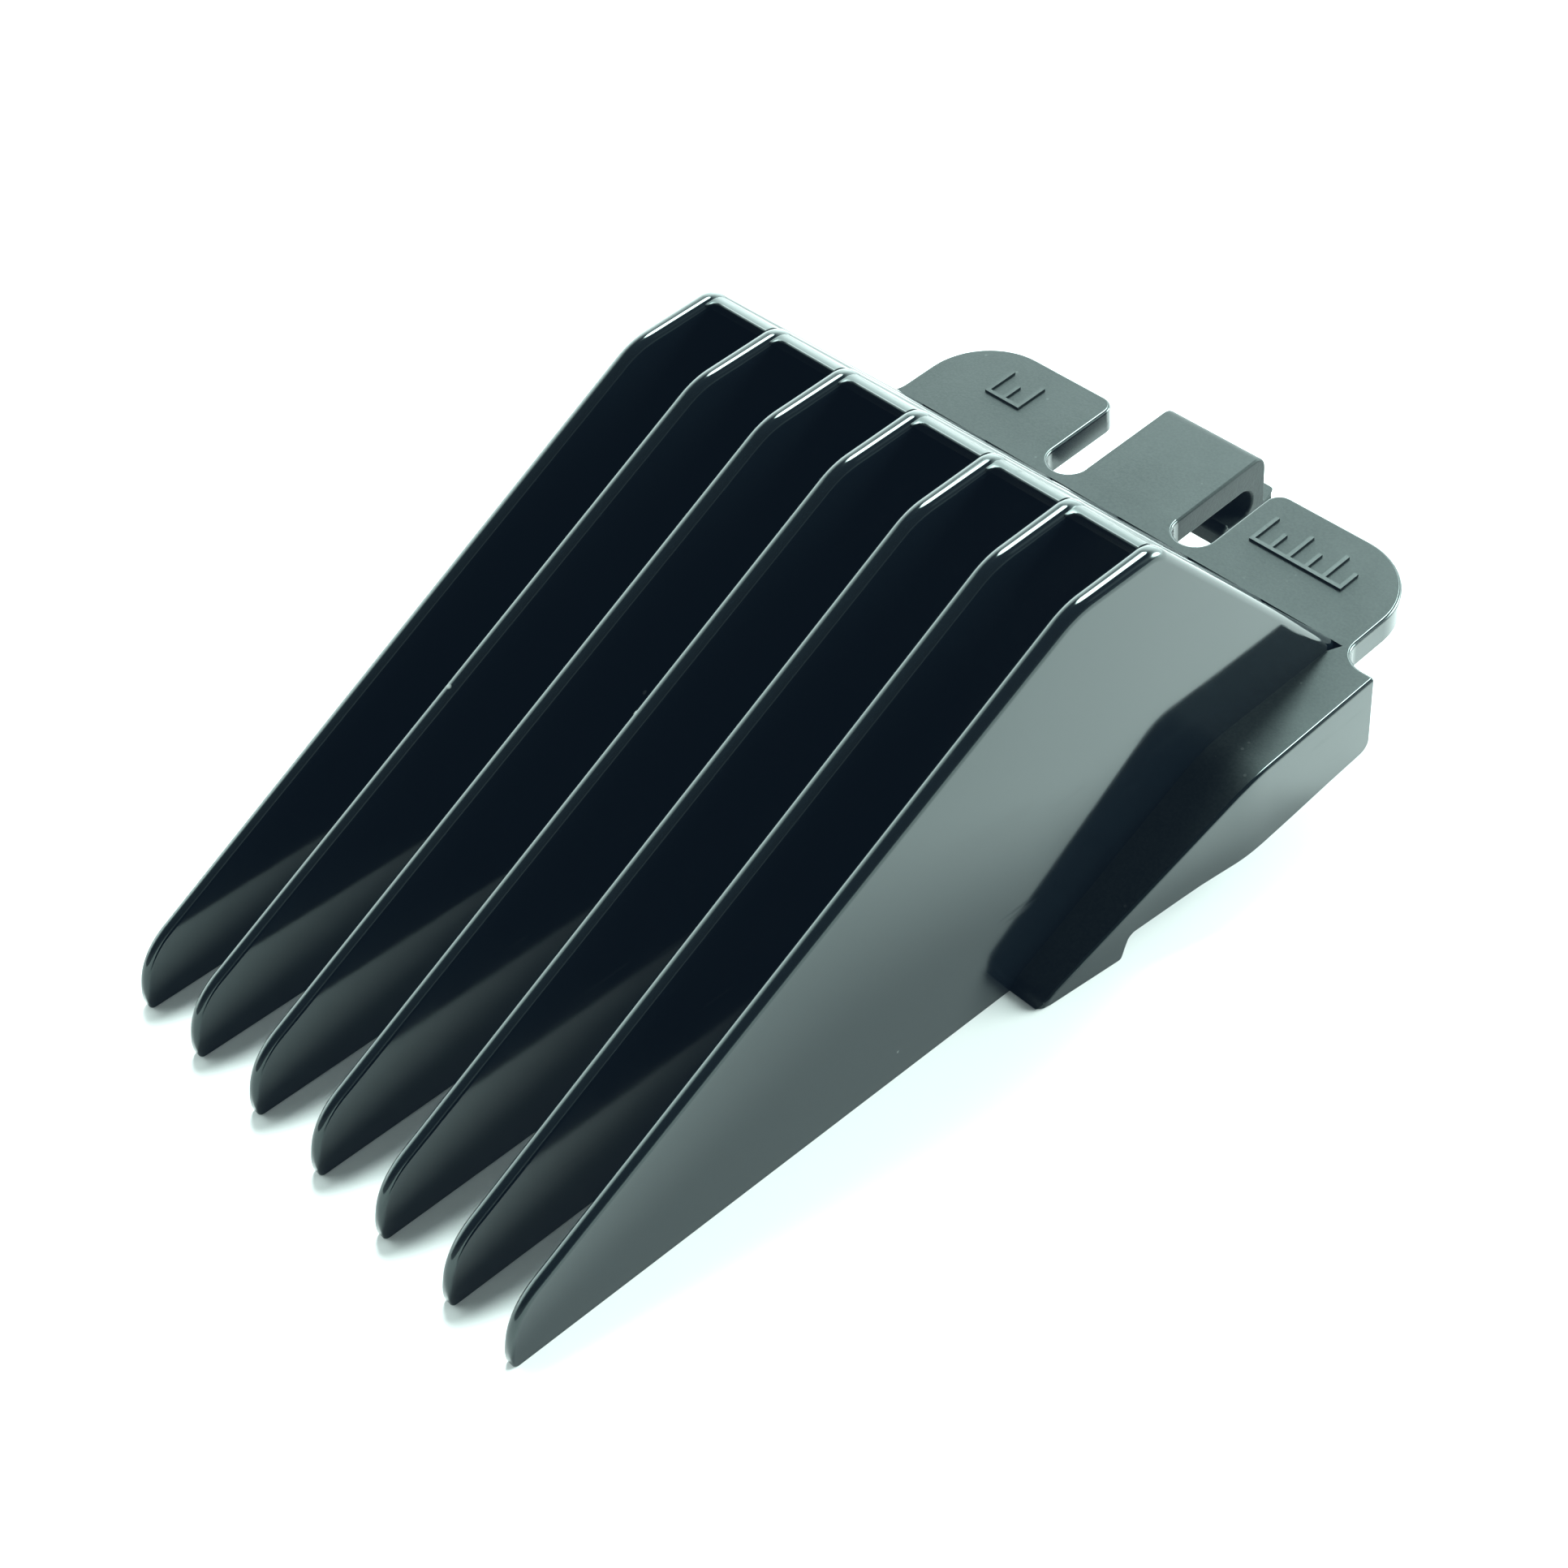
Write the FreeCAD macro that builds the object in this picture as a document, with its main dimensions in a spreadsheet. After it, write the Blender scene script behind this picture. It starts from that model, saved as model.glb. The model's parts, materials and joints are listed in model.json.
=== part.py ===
import FreeCAD, Part
import math
import os
import Sketcher
from FreeCAD import Placement, Rotation, Vector

# A 25 mm (one inch) guide comb for a hair clipper: seven blade-like teeth, a deck with two
# ears, a side rail on each hand and a sprung clip that hooks under the clipper's blade.
# The comb is drawn in its deck's own frame: X across, Y from the tooth tips to the clip,
# Z up, with the deck level and zero at the tooth tips. REST then tips the whole comb so
# that the tooth soles and the feet lie flat on the table, and centres it on the origin.

DIMENSIONS = {
    # teeth
    "tooth_pitch": 6.35, "tip_thick": 0.8, "root_thick": 1.65, "tip_toe": 0.74,
    "crown_height": 25.4, "ramp_at_tip": 3.83, "knee_at": 45.3, "crown_end": 52.4,
    "nose_round": 5.0, "sole_round": 0.4, "knee_round": 6.0, "crown_round": 2.5,
    "edge_round": 0.25, "sole_drop": 2.6, "sole_end": 45.1, "heel_end": 46.2,
    # sloping walls that close the gaps at the back
    "wall_recess": 0.45, "wall_in": 0.64, "wall_down": 0.56, "wall_rim_round": 0.35,
    # deck
    "deck_top": 5.9, "deck_thick": 2.1, "deck_knee": 56.3,
    "deck_front": 69.3, "deck_side": 70.2, "ear_front": 71.65, "ear_end": 78.5,
    "ear_side": 20.9, "ear_corner": 5.5, "ear_inner_corner": 1.2, "deck_edge_round": 0.25,
    "slot_inner": 4.3, "slot_outer": 7.4,
    # side rails
    "rail_side": 23.75, "rail_toe_slope": 0.105, "rail_thick": 1.7, "rail_end": 68.35,
    "rail_sole": 0.8, "rail_belly": 1.1, "rail_belly_at": 56.2, "rail_heel_round": 1.0,
    "shelf_slope": 0.43, "shelf_front": 47.5, "notch_round": 1.75,
    "foot_front": 38.6, "foot_front_lift": 0.55, "foot_end": 45.3, "foot_round": 0.25,
    "step_round": 1.0,
    # clip
    "clip_clear": 0.3, "bend_start": 78.45, "bend_end": 81.1, "bend_round": 1.1,
    "leg_front": 76.4, "leg_top": 1.3, "leg_thick": 1.5, "catch_long": 0.8, "catch_high": 0.5,
    "tab_end": 83.0, "tab_corner": 1.1, "clip_edge_round": 0.25,
    # raised size marks
    "mark_high": 0.2, "mark_wide": 0.3, "mark_base_y": 73.6, "mark_step": 1.5,
    "mark_long": 2.6, "mark_short": 1.6, "right_mark_x": 9.2, "left_mark_x": 15.4,
    # how the comb lies
    "rest_angle": 3.3, "rest_middle": 41.406,
}

TOOTH_COUNT = 7
RIGHT_TICKS = 6
LEFT_TICKS = 3

doc = FreeCAD.newDocument("guide_comb")
sheet = doc.addObject("Spreadsheet::Sheet", "Dims")
for row, (alias, number) in enumerate(DIMENSIONS.items(), start=1):
    sheet.set(f"A{row}", alias)
    sheet.set(f"B{row}", str(number))
    sheet.setAlias(f"B{row}", alias)
doc.recompute()


class Size:
    """A length that knows both its value and the sheet expression that gives it."""

    def __init__(self, value, text):
        self.value = value
        self.text = text

    def __add__(self, other):
        other = as_size(other)
        return Size(self.value + other.value, f"({self.text} + {other.text})")

    def __sub__(self, other):
        other = as_size(other)
        return Size(self.value - other.value, f"({self.text} - {other.text})")

    def __mul__(self, other):
        other = as_size(other)
        return Size(self.value * other.value, f"({self.text} * {other.text})")

    def __truediv__(self, other):
        other = as_size(other)
        return Size(self.value / other.value, f"({self.text} / {other.text})")

    def __neg__(self):
        return self * -1

    __radd__ = __add__
    __rmul__ = __mul__

    def __rsub__(self, other):
        return as_size(other) - self


def as_size(number):
    return number if isinstance(number, Size) else Size(float(number), f"({number})")


def dim(alias):
    return Size(float(sheet.get(alias)), f"Dims.{alias}")


REST = Placement(
    Vector(0, -dim("rest_middle").value, 0),
    Rotation(Vector(1, 0, 0), dim("rest_angle").value),
)
REST_BACK = REST.inverse()

subparts = []


# ---------------------------------------------------------------- building helpers

def new_body(label):
    body = doc.addObject("PartDesign::Body", label)
    body.Label = label
    subparts.append(body)
    return body


def origin_plane(body, role):
    return next(f for f in body.Origin.OriginFeatures if f.Role == role)


def outline(body, name, role, corners):
    """A closed polygon on one of the body's own planes, each corner bound to the sheet."""
    sketch = body.newObject("Sketcher::SketchObject", name)
    sketch.AttachmentSupport = (origin_plane(body, role), [""])
    sketch.MapMode = "FlatFace"
    corners = [(as_size(u), as_size(v)) for u, v in corners]
    points = [Vector(u.value, v.value, 0) for u, v in corners]
    count = len(points)
    for i in range(count):
        sketch.addGeometry(Part.LineSegment(points[i], points[(i + 1) % count]))
    for i in range(count):
        sketch.addConstraint(Sketcher.Constraint("Coincident", i, 2, (i + 1) % count, 1))
    for i, (u, v) in enumerate(corners):
        for kind, size in (("DistanceX", u), ("DistanceY", v)):
            index = sketch.addConstraint(Sketcher.Constraint(kind, -1, 1, i, 1, size.value))
            sketch.setExpression(f"Constraints[{index}]", size.text)
    return sketch


def circles(body, name, role, centres, radius):
    """Full circles of one radius on one of the body's own planes."""
    sketch = body.newObject("Sketcher::SketchObject", name)
    sketch.AttachmentSupport = (origin_plane(body, role), [""])
    sketch.MapMode = "FlatFace"
    for i, (u, v) in enumerate(centres):
        u, v = as_size(u), as_size(v)
        middle = Vector(u.value, v.value, 0)
        sketch.addGeometry(Part.Circle(middle, Vector(0, 0, 1), radius.value))
        for kind, size in (("DistanceX", u), ("DistanceY", v)):
            index = sketch.addConstraint(Sketcher.Constraint(kind, -1, 1, i, 3, size.value))
            sketch.setExpression(f"Constraints[{index}]", size.text)
        index = sketch.addConstraint(Sketcher.Constraint("Radius", i, radius.value))
        sketch.setExpression(f"Constraints[{index}]", radius.text)
    return sketch


def pad(body, sketch, low, high):
    """Pads a sketch between two heights along its plane's normal."""
    low, high = as_size(low), as_size(high)
    sketch.setExpression("AttachmentOffset.Base.z", low.text)
    feature = body.newObject("PartDesign::Pad", f"{body.Label}_{sketch.Label}_pad")
    feature.Profile = sketch
    feature.Length = high.value - low.value
    feature.setExpression("Length", (high - low).text)
    doc.recompute()
    return feature


def cut(body, sketch):
    """Cuts a sketch right through the body, both ways."""
    before = body.Tip.Shape.Volume
    feature = body.newObject("PartDesign::Pocket", f"{body.Label}_{sketch.Label}_cut")
    feature.Profile = sketch
    feature.Type = "ThroughAll"
    feature.Midplane = True
    doc.recompute()
    if not feature.Shape.Volume < before - 1e-3:
        raise RuntimeError(f"{feature.Label} cuts nothing")
    return feature


def edges_where(feature, wanted):
    return [f"Edge{i}" for i, e in enumerate(feature.Shape.Edges, start=1) if wanted(e)]


def near(edge, axes, places, slack=0.05):
    """True where every point of the edge keeps the given places along the given axes."""
    ends = [edge.valueAt(edge.FirstParameter), edge.valueAt(edge.LastParameter)]
    return all(abs(p[a] - q) < slack for p in ends for a, q in zip(axes, places))


def round_edges(body, feature, radius, wanted):
    names = edges_where(feature, wanted)
    if not names:
        raise RuntimeError(f"no edge to round on {body.Label}")
    rounded = body.newObject("PartDesign::Fillet", f"{body.Label}_round_{len(body.Group)}")
    rounded.Base = (feature, names)
    rounded.Radius = radius.value
    rounded.setExpression("Radius", radius.text)
    doc.recompute()
    return rounded


def round_corners(body, feature, radius, axes, corners):
    """Rounds the straight edges that stand at the given corners of a padded outline."""
    places = [[as_size(c).value for c in corner] for corner in corners]
    return round_edges(
        body, feature, radius, lambda e: any(near(e, axes, place) for place in places)
    )


# ---------------------------------------------------------------- shared lines of the comb

DECK_TOP = dim("deck_top")
SEAT = DECK_TOP - dim("deck_thick")


def sole(y):
    """Height of the line that the tooth soles and the feet share."""
    return -dim("sole_drop") * as_size(y) / dim("sole_end")


def tooth_face(number, hand, y):
    """Place across the comb of a tooth's left (-1) or right (+1) face, at y."""
    place = number - (TOOTH_COUNT + 1) / 2
    middle = dim("tooth_pitch") * place
    root = middle + dim("root_thick") / 2 * hand
    toe = dim("tip_toe") * {1: 1, TOOTH_COUNT: -1}.get(number, 0)
    tip = middle + toe + dim("tip_thick") / 2 * hand
    return tip + (root - tip) * as_size(y) / dim("deck_front")


def outer_tooth_face(y):
    """Distance from the middle to the outer face of the outermost tooth, at y."""
    return tooth_face(TOOTH_COUNT, 1, y)


def rail_face(y):
    """Distance from the middle to the outer face of a rail, ahead of its straight part."""
    return dim("rail_side") - dim("rail_toe_slope") * (dim("rail_belly_at") - y)


def shelf(y):
    """Height of the sloping top of a side shelf, ahead of the deck's knee, at y."""
    return DECK_TOP - dim("shelf_slope") * (dim("deck_knee") - y)


def roof_under(y):
    """Height of the blade bay's sloping roof: the shelves' undersides and the tooth heels."""
    return shelf(y) - dim("deck_thick")


# ---------------------------------------------------------------- teeth and the walls between

def trim_along_face(body, number, hand, away):
    """Cuts off what lies left (-1) or right (+1) of one face of a tooth."""
    front, back = as_size(-5), dim("deck_front") + 5
    far = dim("tooth_pitch") * (number - (TOOTH_COUNT + 1) / 2 + 2 * away)
    side = {-1: "left", 1: "right"}[hand]
    plan = outline(body, f"face_{number}_{side}", "XY_Plane", [
        (tooth_face(number, hand, front), front), (tooth_face(number, hand, back), back),
        (far, back), (far, front),
    ])
    return cut(body, plan)


def crest_edge(edge):
    """True for the edges that run along a tooth's nose, ramp, crown and back slope."""
    first, last = edge.valueAt(edge.FirstParameter), edge.valueAt(edge.LastParameter)
    along = math.hypot(first.y - last.y, first.z - last.z) > 0.8
    low_end, seat = min(first.z, last.z), SEAT.value
    upright_end = max(first.y, last.y) < 5 and max(first.z, last.z) > 1
    return along and (low_end > seat + 0.01 or upright_end)


def tooth(number):
    body = new_body(f"tooth_{number}")
    middle = dim("tooth_pitch") * (number - (TOOTH_COUNT + 1) / 2)
    crown, deck_front = dim("crown_height"), dim("deck_front")
    nose_front, nose_top = as_size(0), dim("ramp_at_tip")
    side = outline(body, "side", "YZ_Plane", [
        (nose_front, 0), (nose_front, nose_top), (dim("knee_at"), crown),
        (dim("crown_end"), crown), (deck_front, DECK_TOP), (deck_front, SEAT),
        (dim("deck_knee"), SEAT), (dim("heel_end"), roof_under(dim("heel_end"))),
        (dim("sole_end"), sole(dim("sole_end"))),
    ])
    blank = pad(body, side, middle - dim("root_thick"), middle + dim("root_thick"))
    blank = round_corners(body, blank, dim("nose_round"), (1, 2), [(nose_front, nose_top)])
    blank = round_corners(body, blank, dim("knee_round"), (1, 2), [(dim("knee_at"), crown)])
    blank = round_corners(body, blank, dim("crown_round"), (1, 2), [(dim("crown_end"), crown)])
    blank = round_corners(body, blank, dim("sole_round"), (1, 2), [(nose_front, 0)])
    for hand in (-1, 1):
        blank = trim_along_face(body, number, hand, hand)
    round_edges(body, blank, dim("edge_round"), crest_edge)


def rear_wall(number):
    """Closes the gap between a tooth and the next, just inside their back slopes."""
    body = new_body(f"rear_wall_{number}")
    left = dim("tooth_pitch") * (number - (TOOTH_COUNT + 1) / 2)
    top_y, top_z = dim("crown_end"), dim("crown_height") - dim("wall_recess")
    foot_y, foot_z = dim("deck_front"), DECK_TOP - dim("wall_recess")
    inner_y, inner_z = top_y - dim("wall_in"), top_z - dim("wall_down")
    fall = (top_z - foot_z) / (foot_y - top_y)
    side = outline(body, "side", "YZ_Plane", [
        (top_y, top_z), (foot_y, foot_z),
        (foot_y, inner_z - fall * (foot_y - inner_y)), (inner_y, inner_z),
    ])
    wall = pad(body, side, left, left + dim("tooth_pitch"))
    round_corners(body, wall, dim("wall_rim_round"), (1, 2),
                  [(top_y, top_z), (inner_y, inner_z)])
    trim_along_face(body, number, 1, -1)
    trim_along_face(body, number + 1, -1, 1)


# ---------------------------------------------------------------- deck

def rear_deck():
    body = new_body("rear_deck")
    front, side, back = dim("deck_front"), dim("deck_side"), dim("ear_front")
    near_x, near_side, far_x = outer_tooth_face(front), outer_tooth_face(side), dim("ear_side")
    plan = outline(body, "plan", "XY_Plane", [
        (-near_x, front), (near_x, front), (near_side, side), (far_x, side), (far_x, back),
        (-far_x, back), (-far_x, side), (-near_side, side),
    ])
    pad(body, plan, SEAT, DECK_TOP)
    slot_middle = (dim("slot_inner") + dim("slot_outer")) / 2
    slot_radius = (dim("slot_outer") - dim("slot_inner")) / 2
    ends = circles(body, "slot_ends", "XY_Plane",
                   [(slot_middle, back), (-slot_middle, back)], slot_radius)
    cut(body, ends)


def ear(side_name, hand):
    body = new_body(f"{side_name}_ear")
    inner, outer = dim("slot_outer") * hand, dim("ear_side") * hand
    front, back = dim("ear_front"), dim("ear_end")
    plan = outline(body, "plan", "XY_Plane",
                   [(inner, front), (outer, front), (outer, back), (inner, back)])
    plate = pad(body, plan, SEAT, DECK_TOP)
    plate = round_corners(body, plate, dim("ear_corner"), (0, 1), [(outer, back)])
    plate = round_corners(body, plate, dim("ear_inner_corner"), (0, 1), [(inner, back)])
    top, seam = DECK_TOP.value, front.value
    round_edges(body, plate, dim("deck_edge_round"),
                lambda e: near(e, (2,), (top,), 1e-4) and not near(e, (1,), (seam,), 1e-4))


# ---------------------------------------------------------------- side rails

def foot(side_name, hand):
    """The solid toe of a rail, which lies on the table beside the outermost tooth."""
    body = new_body(f"{side_name}_foot")
    front, step, back = dim("foot_front"), dim("foot_end"), dim("shelf_front")
    plan = outline(body, "plan", "XY_Plane", [
        (outer_tooth_face(front) * hand, front), (rail_face(front) * hand, front),
        (rail_face(back) * hand, back), (outer_tooth_face(back) * hand, back),
    ])
    toe = pad(body, plan, sole(step), shelf(back))
    nose = sole(front) + dim("foot_front_lift")
    above = outline(body, "above", "YZ_Plane", [
        (front - 1, nose), (front, nose), (back, shelf(back)),
        (back + 1, shelf(back) + 1), (front - 1, shelf(back) + 1),
    ])
    toe = cut(body, above)
    below = outline(body, "below", "YZ_Plane", [
        (0, 0), (step, sole(step)), (step, -dim("rail_sole")), (back + 1, -dim("rail_sole")),
        (back + 1, sole(step) - 1), (0, sole(step) - 1),
    ])
    toe = cut(body, below)
    toe = round_corners(body, toe, dim("step_round"), (1, 2), [(step, -dim("rail_sole"))])
    round_corners(body, toe, dim("foot_round"), (1, 2), [(front, nose), (step, sole(step))])


def side_shelf(side_name, hand):
    """The roof between the outermost tooth and the rail, level with the deck at the back."""
    body = new_body(f"{side_name}_shelf")
    front, bend, back = dim("shelf_front"), dim("rail_belly_at"), dim("rail_end")
    side, outer, inner_x = dim("deck_side"), dim("rail_side") * hand, dim("ear_side") * hand
    plan = outline(body, "plan", "XY_Plane", [
        (outer_tooth_face(front) * hand, front), (rail_face(front) * hand, front),
        (outer, bend), (outer, back), (inner_x, back), (inner_x, side),
        (outer_tooth_face(side) * hand, side),
    ])
    floor = roof_under(front)
    roof = pad(body, plan, floor, DECK_TOP)
    roof = round_corners(body, roof, dim("notch_round"), (0, 1), [(inner_x, back)])
    knee = dim("deck_knee")
    above = outline(body, "above", "YZ_Plane", [
        (front - 1, shelf(front - 1)), (knee, DECK_TOP), (knee, DECK_TOP + 1),
        (front - 1, DECK_TOP + 1),
    ])
    roof = cut(body, above)
    below = outline(body, "below", "YZ_Plane", [
        (front - 1, roof_under(front - 1)), (knee, SEAT), (side + 1, SEAT),
        (side + 1, floor - 1), (front - 1, floor - 1),
    ])
    cut(body, below)


def rail(side_name, hand):
    """The wall under the shelf that holds one edge of the clipper's blade."""
    body = new_body(f"{side_name}_rail")
    front, bend, back = dim("shelf_front"), dim("rail_belly_at"), dim("rail_end")
    outer, inner = dim("rail_side"), dim("rail_side") - dim("rail_thick")
    plan = outline(body, "plan", "XY_Plane", [
        ((rail_face(front) - dim("rail_thick")) * hand, front), (rail_face(front) * hand, front),
        (outer * hand, bend), (outer * hand, back), (inner * hand, back), (inner * hand, bend),
    ])
    wall = pad(body, plan, -dim("rail_belly"), SEAT)
    knee = dim("deck_knee")
    above = outline(body, "above", "YZ_Plane", [
        (front - 1, roof_under(front - 1)), (knee, SEAT), (knee, SEAT + 1), (front - 1, SEAT + 1),
    ])
    wall = cut(body, above)
    belly, rail_sole, past = dim("rail_belly"), dim("rail_sole"), back + 1
    below = outline(body, "below", "YZ_Plane", [
        (front - 1, -rail_sole), (bend - 5, -rail_sole), (bend, -belly),
        (past, rail_sole * -0.8), (past, -belly - 1), (front - 1, -belly - 1),
    ])
    wall = cut(body, below)
    rear, under = back.value, SEAT.value
    round_edges(body, wall, dim("rail_heel_round"),
                lambda e: near(e, (1,), (rear,), 1e-4) and e.BoundBox.ZMax < under - 2
                and e.BoundBox.ZLength < 0.1)


# ---------------------------------------------------------------- clip

def clip_arm():
    """The spring arm. Its root end is a half round, whose middle is the flex axis."""
    body = new_body("clip_arm")
    root, end = dim("ear_front") + dim("clip_clear"), dim("bend_start")
    side = outline(body, "side", "YZ_Plane",
                   [(root, SEAT), (end, SEAT), (end, DECK_TOP), (root, DECK_TOP)])
    arm = pad(body, side, -dim("slot_inner"), dim("slot_inner"))
    half = dim("deck_thick") / 2 - 0.001
    arm = round_corners(body, arm, half, (1, 2), [(root, SEAT), (root, DECK_TOP)])
    edge_x, top = dim("slot_inner").value, DECK_TOP.value
    round_edges(body, arm, dim("clip_edge_round"),
                lambda e: near(e, (2,), (top,), 1e-3) and abs(abs(e.BoundBox.Center.x) - edge_x) < 1e-3)


def clip_bend():
    """The back of the clip, where the arm turns down and forward again."""
    body = new_body("clip_bend")
    start, end = dim("bend_start"), dim("bend_end")
    bottom = dim("leg_top") - dim("leg_thick")
    side = outline(body, "side", "YZ_Plane",
                   [(start, bottom), (end, bottom), (end, DECK_TOP), (start, DECK_TOP)])
    bend = pad(body, side, -dim("slot_inner"), dim("slot_inner"))
    mouth_middle = (SEAT + dim("leg_top")) / 2
    mouth_radius = (SEAT - dim("leg_top")) / 2
    mouth = circles(body, "mouth", "YZ_Plane", [(start, mouth_middle)], mouth_radius)
    bend = cut(body, mouth)
    round_corners(body, bend, dim("bend_round"), (1, 2), [(end, DECK_TOP)])


def clip_leg():
    body = new_body("clip_leg")
    bottom = dim("leg_top") - dim("leg_thick")
    side = outline(body, "side", "YZ_Plane", [
        (dim("leg_front"), bottom), (dim("bend_start"), bottom),
        (dim("bend_start"), dim("leg_top")), (dim("leg_front"), dim("leg_top")),
    ])
    leg = pad(body, side, -dim("slot_inner"), dim("slot_inner"))
    round_corners(body, leg, dim("clip_edge_round"), (1, 2), [(dim("leg_front"), bottom)])


def clip_catch():
    """The low ridge on the leg that hooks behind the clipper's blade."""
    body = new_body("clip_catch")
    front, back = dim("leg_front"), dim("leg_front") + dim("catch_long")
    low, high = dim("leg_top"), dim("leg_top") + dim("catch_high")
    side = outline(body, "side", "YZ_Plane",
                   [(front, low), (back, low), (back, high), (front + dim("catch_high"), high)])
    pad(body, side, -dim("slot_inner"), dim("slot_inner"))


def finger_tab():
    body = new_body("finger_tab")
    half, start, end = dim("slot_inner"), dim("bend_end"), dim("tab_end")
    plan = outline(body, "plan", "XY_Plane",
                   [(-half, start), (half, start), (half, end), (-half, end)])
    tab = pad(body, plan, dim("leg_top") - dim("leg_thick"), dim("leg_top"))
    tab = round_corners(body, tab, dim("tab_corner"), (0, 1), [(half, end), (-half, end)])
    rear = end.value
    round_edges(body, tab, dim("clip_edge_round"), lambda e: near(e, (1,), (rear,), 1e-3)
                and e.BoundBox.ZLength < 1e-3)


# ---------------------------------------------------------------- raised size marks

def size_marks(side_name, hand, first_x, ticks):
    """A short raised scale on an ear: a base line with long and short ticks."""
    body = new_body(f"{side_name}_marks")
    wide, base = dim("mark_wide"), dim("mark_base_y")
    corners = [(first_x * hand, base - wide)]
    for i in range(ticks):
        length = dim("mark_long") if i % 2 == 0 else dim("mark_short")
        left = first_x + dim("mark_step") * i
        right = left + wide
        corners += [(left * hand, base + length), (right * hand, base + length)]
        if i < ticks - 1:
            corners += [(right * hand, base), ((left + dim("mark_step")) * hand, base)]
        else:
            corners += [(right * hand, base - wide)]
    plan = outline(body, "plan", "XY_Plane", corners)
    pad(body, plan, DECK_TOP, DECK_TOP + dim("mark_high"))


# ---------------------------------------------------------------- the comb

for tooth_number in range(1, TOOTH_COUNT + 1):
    tooth(tooth_number)
for wall_number in range(1, TOOTH_COUNT):
    rear_wall(wall_number)
rear_deck()
for hand_name, hand_sign in (("left", -1), ("right", 1)):
    ear(hand_name, hand_sign)
    side_shelf(hand_name, hand_sign)
    rail(hand_name, hand_sign)
    foot(hand_name, hand_sign)
clip_arm()
clip_bend()
clip_leg()
clip_catch()
finger_tab()
size_marks("right", 1, dim("right_mark_x"), RIGHT_TICKS)
size_marks("left", -1, dim("left_mark_x") - dim("mark_step") * (LEFT_TICKS - 1), LEFT_TICKS)

for body in subparts:
    body.Placement = REST
doc.recompute()

for thing in doc.Objects:
    if "Invalid" in thing.State or "Error" in thing.State:
        raise RuntimeError(f"{thing.Label} did not compute: {thing.State}")

os.makedirs("parts", exist_ok=True)
for body in subparts:
    if body.Shape.isNull() or not body.Shape.isValid():
        raise RuntimeError(f"{body.Label} has no valid shape")
    body.Shape.exportStep(f"parts/{body.Label}.step")
    box = body.Shape.BoundBox
    print(f"{body.Label:12s} volume {body.Shape.Volume:8.1f}  "
          f"y {box.YMin:7.2f} {box.YMax:7.2f}  z {box.ZMin:6.2f} {box.ZMax:6.2f}")
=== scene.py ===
import json
import math

import bmesh
import bpy
from mathutils import Matrix, Vector


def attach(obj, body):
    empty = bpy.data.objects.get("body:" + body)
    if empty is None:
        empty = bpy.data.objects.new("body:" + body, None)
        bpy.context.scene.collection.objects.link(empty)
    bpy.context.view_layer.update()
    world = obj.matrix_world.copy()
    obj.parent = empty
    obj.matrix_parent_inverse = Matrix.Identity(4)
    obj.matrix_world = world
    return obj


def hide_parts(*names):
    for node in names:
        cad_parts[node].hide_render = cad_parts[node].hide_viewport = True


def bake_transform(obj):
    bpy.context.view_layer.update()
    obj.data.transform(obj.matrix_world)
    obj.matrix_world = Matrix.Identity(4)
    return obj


# A guide comb for a hair clipper. Shapes are drawn in millimetres in the comb's own level
# frame, with the deck flat: X across, Y back from the tooth tips, Z up from the tips' line.
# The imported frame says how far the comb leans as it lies, and gives every main size.

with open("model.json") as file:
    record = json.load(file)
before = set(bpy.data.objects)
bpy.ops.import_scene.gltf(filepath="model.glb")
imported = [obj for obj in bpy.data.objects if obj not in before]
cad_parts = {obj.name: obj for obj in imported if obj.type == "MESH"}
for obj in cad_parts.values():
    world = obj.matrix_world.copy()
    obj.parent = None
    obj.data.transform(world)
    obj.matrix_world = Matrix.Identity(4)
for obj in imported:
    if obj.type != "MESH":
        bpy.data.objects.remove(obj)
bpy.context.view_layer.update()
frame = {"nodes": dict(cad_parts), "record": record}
NODES = frame["nodes"]

MM = 0.001
TOOTH_COUNT = 7


# ---------------------------------------------------------------- the level frame

def mount(name):
    return next(m for m in frame["record"]["mounts"] if m["name"] == name)


seat_normal = mount("blade_seat_face")["axis"]
LEAN = math.atan2(seat_normal[1], -seat_normal[2])
UNLEAN = Matrix.Rotation(-LEAN, 4, "X")


def levelled(node):
    """A CAD node's points, turned so that the deck is level, in millimetres."""
    return [UNLEAN @ v.co / MM for v in NODES[node].data.vertices]


middle_tooth = f"tooth_{(TOOTH_COUNT + 1) // 2}"
TIP_Y = min(p.y for p in levelled(middle_tooth))
TIP = Vector((0, TIP_Y, -TIP_Y * math.tan(LEAN)))
TO_ROW = Matrix.Rotation(LEAN, 4, "X") @ Matrix.Translation(TIP * MM) @ Matrix.Scale(MM, 4)


def span(node):
    """Lowest and highest corner of a CAD node in the level frame, in millimetres."""
    points = [p - TIP for p in levelled(node)]
    low = Vector(min(p[i] for p in points) for i in range(3))
    high = Vector(max(p[i] for p in points) for i in range(3))
    return low, high


def row(x, y, z):
    """A level-frame point, as the row frame's metres."""
    return TO_ROW @ Vector((x, y, z))


# ---------------------------------------------------------------- sizes read from the frame

tooth_high = span(middle_tooth)[1]
next_low, next_high = span(f"tooth_{(TOOTH_COUNT + 3) // 2}")
deck_low, deck_high = span("rear_deck")
ear_low, ear_high = span("right_ear")
rail_low, rail_high = span("right_rail")
foot_low = span("right_foot")[0]
arm_high = span("clip_arm")[1]
bend_high = span("clip_bend")[1]
leg_low, leg_high = span("clip_leg")
tab_high = span("finger_tab")[1]

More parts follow.
